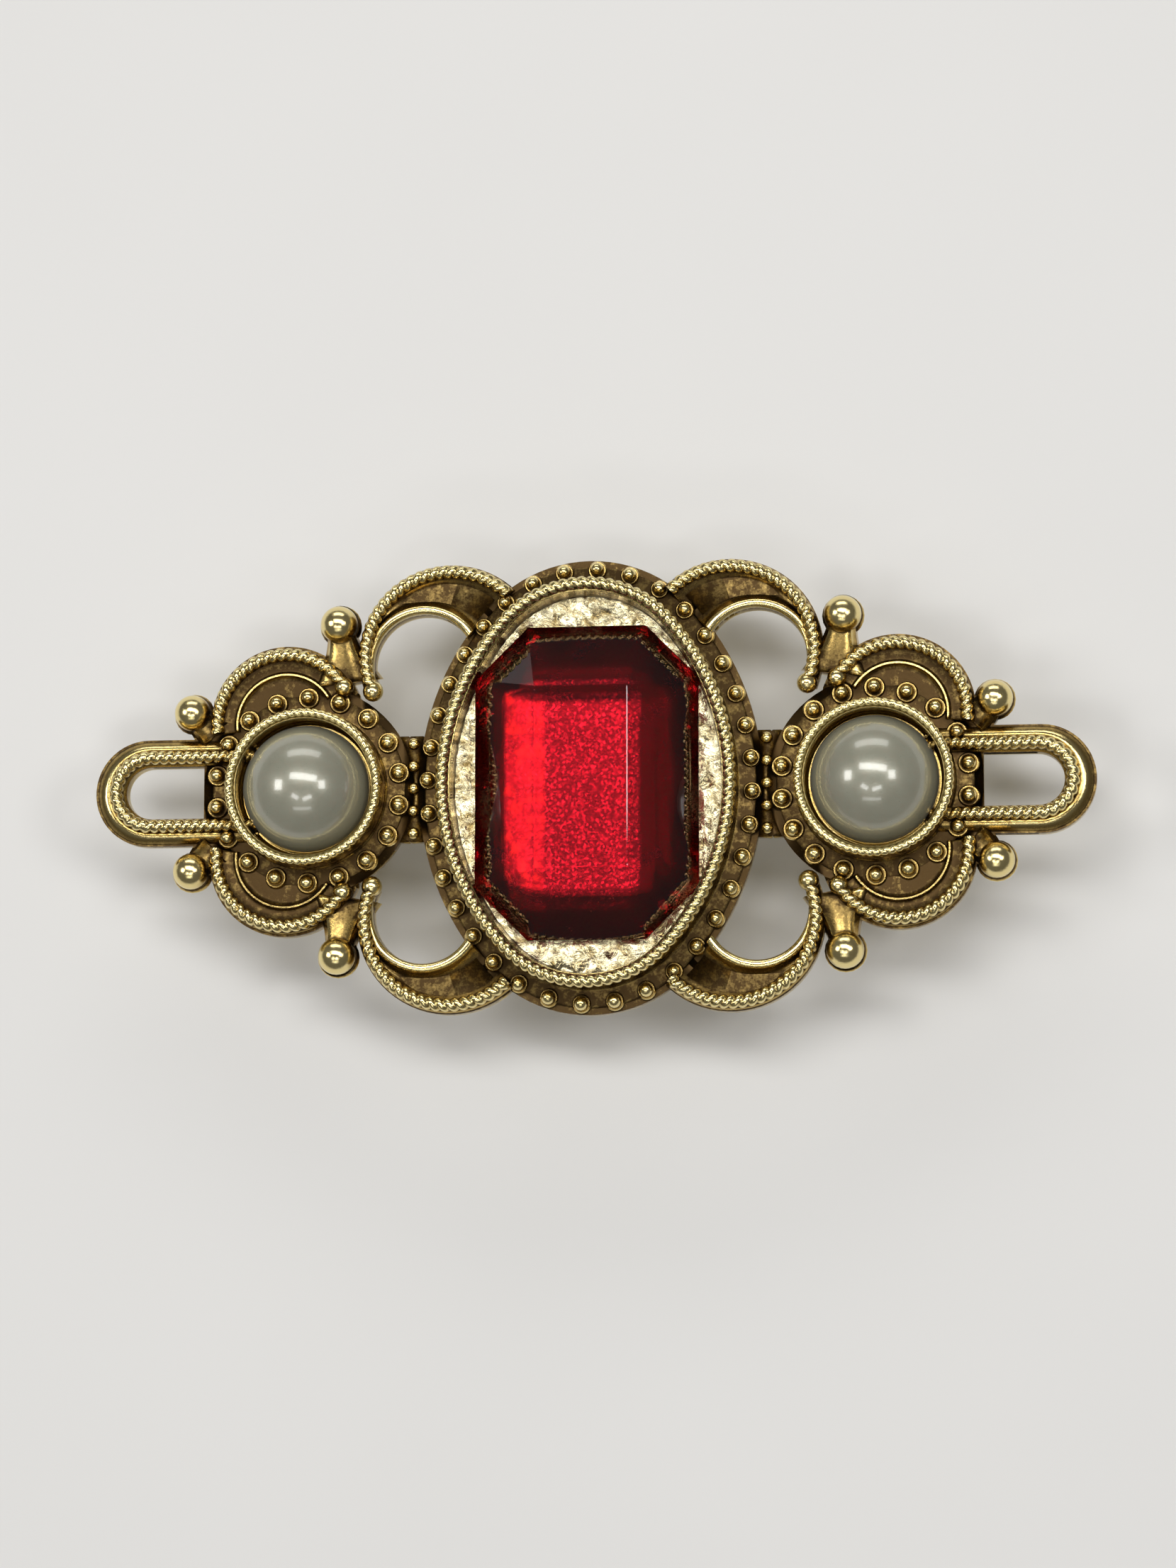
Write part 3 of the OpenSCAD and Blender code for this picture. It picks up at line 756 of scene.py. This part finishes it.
def finial(foot, ball, r, foot_w, neck_w):
    """A ball in its collar at the end of its stem."""
    ball_mesh = bead(ball + Vector((0, 0, casting_z + r + 0.1)), r, 28, 18)
    ring = collar(ball + Vector((0, 0, casting_z + 0.75)), r * 0.9, 0.34)
    base = spun([(0, casting_z + 0.75), (r, casting_z + 0.75), (r + 0.1, casting_z + 0.6),
        (r + 0.1, casting_z + 0.12), (r, casting_z), (0, casting_z)], (ball.x, ball.y, 0), 28)
    return joined([ball_stem(foot, ball, foot_w, neck_w), ring, base, ball_mesh])


def lattice_beads():
    """Small beads that fill the plates between the cups."""
    pitch = 1.15
    r = 0.5
    parts = []
    for row in range(-6, 7):
        for column in range(-6, 7):
            x = (oval_b + pearl_x - pearl_rim_r) / 2 + (column + 0.5 * (row % 2)) * pitch * 0.95
            y = row * pitch * 0.78
            clear_of_pearl = math.hypot(x - pearl_x, y) > pearl_reach + r * 0.2
            side_distance = math.hypot(x + side_x, y) - oval_side_r
            if clear_of_pearl and side_distance > oval_reach + r * 0.2 and abs(y) < 4.0 and x < pearl_x:
                for side in (-1, 1):
                    parts.append(bead((side * x, y, slab_top + 0.2), r, 12, 8))
    return joined(parts)


def openwork():
    rope_r = rope_w / 2
    rope_z = rope_top - rope_r
    big_rope_r = big_scroll_r - rope_inset - rope_r
    small_rope_r = small_scroll_r - rope_inset - rope_r
    big_end = polar(big_rope_r, big_from, rope_z - 0.2)
    small_end = polar(small_rope_r, small_to, rope_z - 0.2)
    quarter = joined([
        big_scroll_band(),
        small_scroll_band(),
        rope(arc(big_scroll, big_rope_r, big_from, big_to, rope_step), rope_z, rope_r, rope_pitch),
        bead(big_scroll + big_end, rope_r * 1.5),
        bead(small_scroll + small_end, rope_r * 1.4),
        rope(arc(small_scroll, small_rope_r, small_from, small_to, rope_step),
            rope_z - 0.05, rope_r, rope_pitch),
        finial(inner_foot, inner_ball, inner_ball_r, 5.6, 2.3),
        finial(outer_foot, outer_ball, outer_ball_r, 3.2, 2.4)])
    clip_to_cups(quarter)
    relief = quarters(quarter)
    ends = []
    for turn in (0, 180):
        end = joined([loop_band(), loop_rope(rope_r, rope_z)])
        bmesh.ops.rotate(end, cent=(0, 0, 0), matrix=Matrix.Rotation(math.radians(turn), 3, "Z"),
            verts=end.verts)
        ends.append(end)
    return joined([casting_slab(), relief, lattice_beads()] + ends)


def loop_rope(r, z):
    path = [(p + side * (loop_rope_in + r), side) for p, side in loop_path(rope_step)]
    return rope(path, z, r, rope_pitch)


def clip_to_cups(bm):
    """Takes away the relief that would stand inside the cups."""
    gone = []
    for f in bm.faces:
        c = f.calc_center_median()
        in_pearl = math.hypot(c.x - pearl_x, c.y) < pearl_rim_r - 0.2
        side_distance = math.hypot(c.x + side_x, c.y) - oval_side_r
        end_distance = math.hypot(c.x, c.y - end_y) - oval_end_r
        distance = end_distance if c.y > end_y and math.degrees(
            math.atan2(c.y - end_y, max(c.x, 1e-6))) > join_angle else side_distance
        if in_pearl or distance < -0.5:
            gone.append(f)
    bmesh.ops.delete(bm, geom=gone, context="FACES")


# ---------------------------------------------------------------- the stone's cup

def oval_ring(profile, step=0.5):
    """A closed band round the oval from (distance out, height) points."""
    path = oval_path(0, step)
    return swept(path, lambda k: profile, wrap=True)


def oval_cup():
    """The cup's wall, flange and ledge."""
    wall_top = oval_rim_z - 0.45
    profile = [(-oval_rim_w - 0.62, cup_z), (-oval_rim_w - 0.62, ledge_z - 0.05),
        (-oval_rim_w - 0.32, ledge_z - 0.05)]
    profile += [(-oval_rim_w - 0.3, cup_z + 0.9)]
    profile += [(-oval_rim_w + 0.02, wall_top - 0.35)]
    profile += bump_round(-oval_rim_w, -oval_rim_w + 0.3, wall_top - 0.25, 0.18, 4)
    profile += [(-0.3, wall_top - 0.3), (-0.12, wall_top - 0.9), (-0.1, flange_z + 0.12),
        (0.05, flange_z), (oval_bead_out + 0.1, flange_z), (oval_bead_out + 0.28, flange_z - 0.12),
        (oval_bead_out + 0.3, cup_z + 0.1), (oval_bead_out + 0.25, cup_z)]
    return oval_ring(profile)


def oval_points(out, count):
    """That many points spread evenly round the oval."""
    path = [p for p, _ in oval_path(out, 0.2)]
    lengths = [0.0]
    for p, q in zip(path, path[1:] + path[:1]):
        lengths.append(lengths[-1] + (q - p).length)
    spaced = []
    for k in range(count):
        s = lengths[-1] * (k + 0.5) / count
        i = next(i for i in range(len(path)) if lengths[i + 1] >= s)
        t = (s - lengths[i]) / (lengths[i + 1] - lengths[i])
        spaced.append(path[i].lerp(path[(i + 1) % len(path)], t))
    return spaced


def oval_bead_ring():
    parts = []
    for p in oval_points(oval_bead_out, oval_beads):
        parts.append(bead(p + Vector((0, 0, flange_z + 0.5)), oval_bead_r + 0.02))
        parts.append(collar(p + Vector((0, 0, flange_z + 0.02)), oval_bead_r, 0.21))
    return joined(parts)


def cup_floor():
    """The crumpled floor round the stone."""
    path = oval_path(0, 0.28)
    rings = []
    steps = 20
    for k in range(steps + 1):
        t = k / steps
        out = -oval_rim_w + 0.1 - 5.6 * t
        lift = 0.35 * (1 - t) ** 3
        rings.append([p + side * out + Vector((0, 0, ledge_z - 0.28 + lift)) for p, side in path])
    bm = loft(rings)
    for v in bm.verts:
        at = v.co * 0.9
        crumple = noise.fractal(at, 0.8, 2.1, 4)
        crease = abs(noise.noise(at * 1.7 + Vector((7, 3, 1))))
        v.co.z += 0.13 * crumple - 0.16 * crease + 0.05
    faces = bm.faces[:]
    if sum(f.normal.z for f in faces) < 0:
        bmesh.ops.reverse_faces(bm, faces=faces)
    bmesh.ops.solidify(bm, geom=faces, thickness=-0.25)
    bmesh.ops.recalc_face_normals(bm, faces=bm.faces)
    return bm


def oval_rope():
    r = 0.54
    path = oval_path(-oval_rim_w / 2 + 0.05, 0.11)
    return rope(path, oval_rim_z - r, r, 0.74, wrap=True)


# ---------------------------------------------------------------- the pearls' cups

def pearl_cup(x):
    """A turned cup with a beaded flange and a fine rope on its rim."""
    rim_in = pearl_rim_r - pearl_rim_w
    wall_top = pearl_rim_z - 0.3
    floor = pearl_z - 0.22
    out = pearl_bead_ring
    profile = [(0, floor), (rim_in - 0.25, floor), (rim_in - 0.02, floor + 0.2), (rim_in, wall_top - 0.5)]
    profile += bump_round(rim_in, rim_in + 0.26, wall_top - 0.4, 0.2, 4)
    profile += [(pearl_rim_r - 0.2, wall_top - 0.3), (pearl_rim_r - 0.08, wall_top - 0.8),
        (pearl_rim_r - 0.06, flange_z + 0.12), (pearl_rim_r + 0.08, flange_z),
        (out + 0.15, flange_z), (out + 0.34, flange_z - 0.12), (out + 0.36, cup_z + 0.1),
        (out + 0.3, cup_z), (0, cup_z)]
    parts = [spun(profile, (x, 0, 0), 128)]
    r = 0.37
    centre = (x, 0, 0)
    parts.append(rope(arc(centre, pearl_rim_r - r - 0.02, 0, 360, 0.09)[:-1], pearl_rim_z - r, r,
        0.58, wrap=True, depth=0.3))
    for k in range(pearl_beads):
        place = Vector((x, 0, 0)) + polar(out, (k + 0.5) * 360 / pearl_beads)
        parts.append(bead(place + Vector((0, 0, flange_z + 0.5)), pearl_bead_r))
        parts.append(collar(place + Vector((0, 0, flange_z + 0.04)), pearl_bead_r + 0.03, 0.23))
    return joined(parts)


def half_pearl(x):
    """A half ball with its flat back's edge eased."""
    bm = bead((x, 0, pearl_z), pearl_r, 96, 64)
    bmesh.ops.bisect_plane(bm, geom=bm.verts[:] + bm.edges[:] + bm.faces[:], dist=1e-4,
        plane_co=(0, 0, pearl_z), plane_no=(0, 0, -1), clear_outer=True)
    rim = [e for e in bm.edges if len(e.link_faces) == 1]
    back = bmesh.ops.edgeloop_fill(bm, edges=rim)["faces"]
    edges = [e for f in back for e in f.edges]
    bmesh.ops.bevel(bm, geom=edges, offset=0.12, offset_type="OFFSET", affect="EDGES",
        segments=2, profile=0.5, material=-1)
    return bm


# ---------------------------------------------------------------- the stone

# The glass takes in the foil's face, so that no air lies between them
foil_bite = 0.03


def cut_stone():
    """An octagon step cut: a flat table, two steps and a girdle, with an apex in each long step."""
    half_w = stone_high.x
    half_l = stone_high.y
    corner = 4.2
    base = stone_low.z - foil_bite
    table_w = 3.65
    table_l = 7.15
    mid_z = stone_low.z + 3.2
    girdle_z = stone_low.z + 1
    mid_w = half_w - 2.6
    mid_l = half_l - 3
    mid_corner = 2.9
    apex_out = 0.32

    def octagon(w, l, cut, z):
        quarter = [(w, l - cut), (w - cut, l)]
        return [Vector((sx * x, sy * y, z)) for x, y in quarter for sx in (-1, 1) for sy in (-1, 1)]

    points = octagon(half_w, half_l, corner, base) + octagon(half_w, half_l, corner, girdle_z)
    points += octagon(mid_w, mid_l, mid_corner, mid_z)
    points += [Vector((s * (mid_w + apex_out), 0, mid_z)) for s in (-1, 1)]
    points += [Vector((sx * table_w, sy * table_l, stone_high.z)) for sx in (-1, 1) for sy in (-1, 1)]
    bm = bmesh.new()
    for p in points:
        bm.verts.new(p)
    bmesh.ops.convex_hull(bm, input=bm.verts)
    bmesh.ops.dissolve_limit(bm, angle_limit=math.radians(0.5), verts=bm.verts, edges=bm.edges)
    bmesh.ops.recalc_face_normals(bm, faces=bm.faces)
    bmesh.ops.bevel(bm, geom=bm.edges, offset=0.05, offset_type="OFFSET", affect="EDGES",
        segments=1, profile=0.5, material=-1, clamp_overlap=True)
    return bm


# ---------------------------------------------------------------- assembly

gold = antique_gold()
gilt = hammered_gilt()
steel = clasp_steel()
foil = mirror_foil()
glue = clear_glue()
glass = red_glass()
lacquer = pearl_lacquer()

finish_piece(openwork(), "openwork_casting", "clip_body", gold, ["openwork_frame"])
finish_piece(oval_cup(), "stone_cup", "clip_body", gold, ["oval_setting"])
finish_piece(oval_rope(), "stone_cup_rope", "clip_body", gold, sharp=75)
finish_piece(oval_bead_ring(), "stone_cup_beads", "clip_body", gold)
finish_piece(cup_floor(), "stone_cup_floor", "clip_body", gilt)
for side, x in (("left", -pearl_x), ("right", pearl_x)):
    finish_piece(pearl_cup(x), "pearl_cup_" + side, "clip_body", gold,
        ["pearl_setting_" + side])
golden = list(made)

for side, x in (("left", -pearl_x), ("right", pearl_x)):
    finish_piece(half_pearl(x), "half_pearl_" + side, "clip_body", lacquer,
        ["pearl_" + side], sharp=60)
finish_piece(cut_stone(), "cut_stone", "clip_body", glass, ["rhinestone"], smooth=False)

steel_start = len(made)
finish_piece(softened("base_plate", 0.1), "clasp_plate", "clip_body", steel, ["base_plate"])
finish_piece(softened("mounting_rivets", 0.14, 3), "rivet_heads", "clip_body", steel,
    ["mounting_rivets"])
finish_piece(softened("hinge_pin", 0.12, 3), "hinge_rod", "clip_body", steel, ["hinge_pin"])
finish_piece(softened("swing_arm", 0.12), "clasp_arm", "arm", steel, ["swing_arm"])
bar = finish_piece(softened("tension_bar", 0.08), "bowed_bar", "spring_bar", steel,
    ["tension_bar"])
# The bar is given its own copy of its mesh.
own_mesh(bar)
for side, body in (("front", "front_finger"), ("back", "back_finger")):
    finish_piece(softened("latch_prong_" + side, 0.1), "latch_finger_" + side, body, steel,
        ["latch_prong_" + side])
clasp = made[steel_start:]

for node, material in (("rhinestone_foil", foil), ("rhinestone_adhesive", glue),
        ("pearl_adhesive_left", glue), ("pearl_adhesive_right", glue)):
    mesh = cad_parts[node].data
    mesh.materials.clear()
    mesh.materials.append(material)

# Low level surfaces of the gold between these heights get dark antiquing wash and painted shade.
wash_and_shade_low = casting_z + 1.2
wash_and_shade_high = casting_z + 1.8
mark_hollows(golden, 2.2, (wash_and_shade_low, wash_and_shade_high))
mark_hollows(clasp, 1.6)


# ---------------------------------------------------------------- floor, light and camera

def add_floor():
    reach = 3
    bm = bmesh.new()
    bmesh.ops.create_grid(bm, x_segments=1, y_segments=1, size=reach)
    mesh = bpy.data.meshes.new("studio_floor")
    bm.to_mesh(mesh)
    bm.free()
    mesh.materials.append(pale_floor())
    floor = bpy.data.objects.new("studio_floor", mesh)
    bpy.context.scene.collection.objects.link(floor)


clip_middle = Vector((0, 0, 0.011))


def lamp(name, azimuth, tilt, distance, width, height, power):
    """A soft lamp, tilted from straight up over the clip towards that azimuth (0 is +X, 90 is +Y)."""
    away = Vector((math.sin(math.radians(tilt)) * math.cos(math.radians(azimuth)),
        math.sin(math.radians(tilt)) * math.sin(math.radians(azimuth)),
        math.cos(math.radians(tilt))))
    light = bpy.data.lights.new(name, "AREA")
    light.shape = "RECTANGLE"
    light.size = width
    light.size_y = height
    light.energy = power
    holder = bpy.data.objects.new(name, light)
    holder.location = clip_middle + away * distance
    holder.rotation_mode = "QUATERNION"
    holder.rotation_quaternion = away.to_track_quat("Z", "Y")
    holder.visible_camera = False
    bpy.context.scene.collection.objects.link(holder)


def add_light():
    world = bpy.data.worlds.new("studio")
    world.use_nodes = True
    world.node_tree.nodes["Background"].inputs["Color"].default_value = (1.0, 0.98, 0.95, 1)
    world.node_tree.nodes["Background"].inputs["Strength"].default_value = 0.13
    bpy.context.scene.world = world
    lamp("key", 84, 16, 0.7, 0.62, 0.15, 2.4)
    lamp("side_left", 176, 44, 0.7, 0.2, 0.17, 0.9)
    lamp("side_right", 4, 35, 0.7, 0.18, 0.15, 0.7)
    lamp("low_left", 235, 24, 0.7, 0.16, 0.09, 0.3)
    lamp("low_right", 290, 24, 0.7, 0.2, 0.08, 0.36)
    lamp("rim_back", 92, 64, 0.9, 0.8, 0.22, 1.6)
    lamp("rim_front", 268, 42, 0.9, 0.5, 0.08, 0.4)


def add_camera():
    """Looks down on the clip, a little from its right and from its front."""
    distance = 0.35
    to_right, to_front = 7, 8
    away = Vector((math.sin(math.radians(to_right)), -math.sin(math.radians(to_front)), 0))
    away.z = math.sqrt(1 - away.length_squared)
    up = Vector((0, 1, 0))
    right = up.cross(away).normalized()
    up = away.cross(right)
    data = bpy.data.cameras.new("camera")
    data.sensor_width = 36
    data.lens = 101.6
    data.clip_start = 0.01
    data.clip_end = 10
    camera = bpy.data.objects.new("camera", data)
    rotation = Matrix((right, up, away)).transposed().to_4x4()
    camera.matrix_world = Matrix.Translation(clip_middle + away * distance) @ rotation
    bpy.context.scene.collection.objects.link(camera)
    bpy.context.scene.camera = camera


add_floor()
add_light()
add_camera()
bpy.context.scene.view_settings.view_transform = "Standard"
